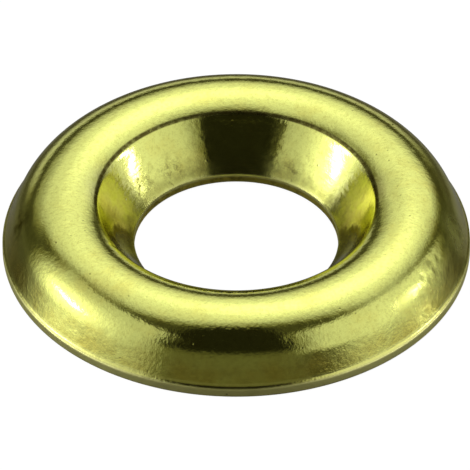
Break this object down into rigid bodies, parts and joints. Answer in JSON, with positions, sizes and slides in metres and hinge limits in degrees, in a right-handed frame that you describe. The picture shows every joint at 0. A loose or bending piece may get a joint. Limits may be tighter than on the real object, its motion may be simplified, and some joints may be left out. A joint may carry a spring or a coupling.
{
  "type": "finishing cup washer",
  "caption": "Raised brass finishing washer, pressed from thin sheet: rounded crown, countersunk cup for a screw head, steep skirt on a trimmed rim, hollow underneath.",
  "frame": {"origin": "centre of the screw hole in the plane of the base", "axes": "+Z along the screw axis, from the base to the crown"},
  "size_m": [0.014, 0.014, 0.002],
  "materials": {
    "brass": "bright pressed brass, slightly brushed, with a pebbled skirt"
  },
  "bodies": {
    "root": {"cup_washer": "brass"}
  },
  "joints": []
}
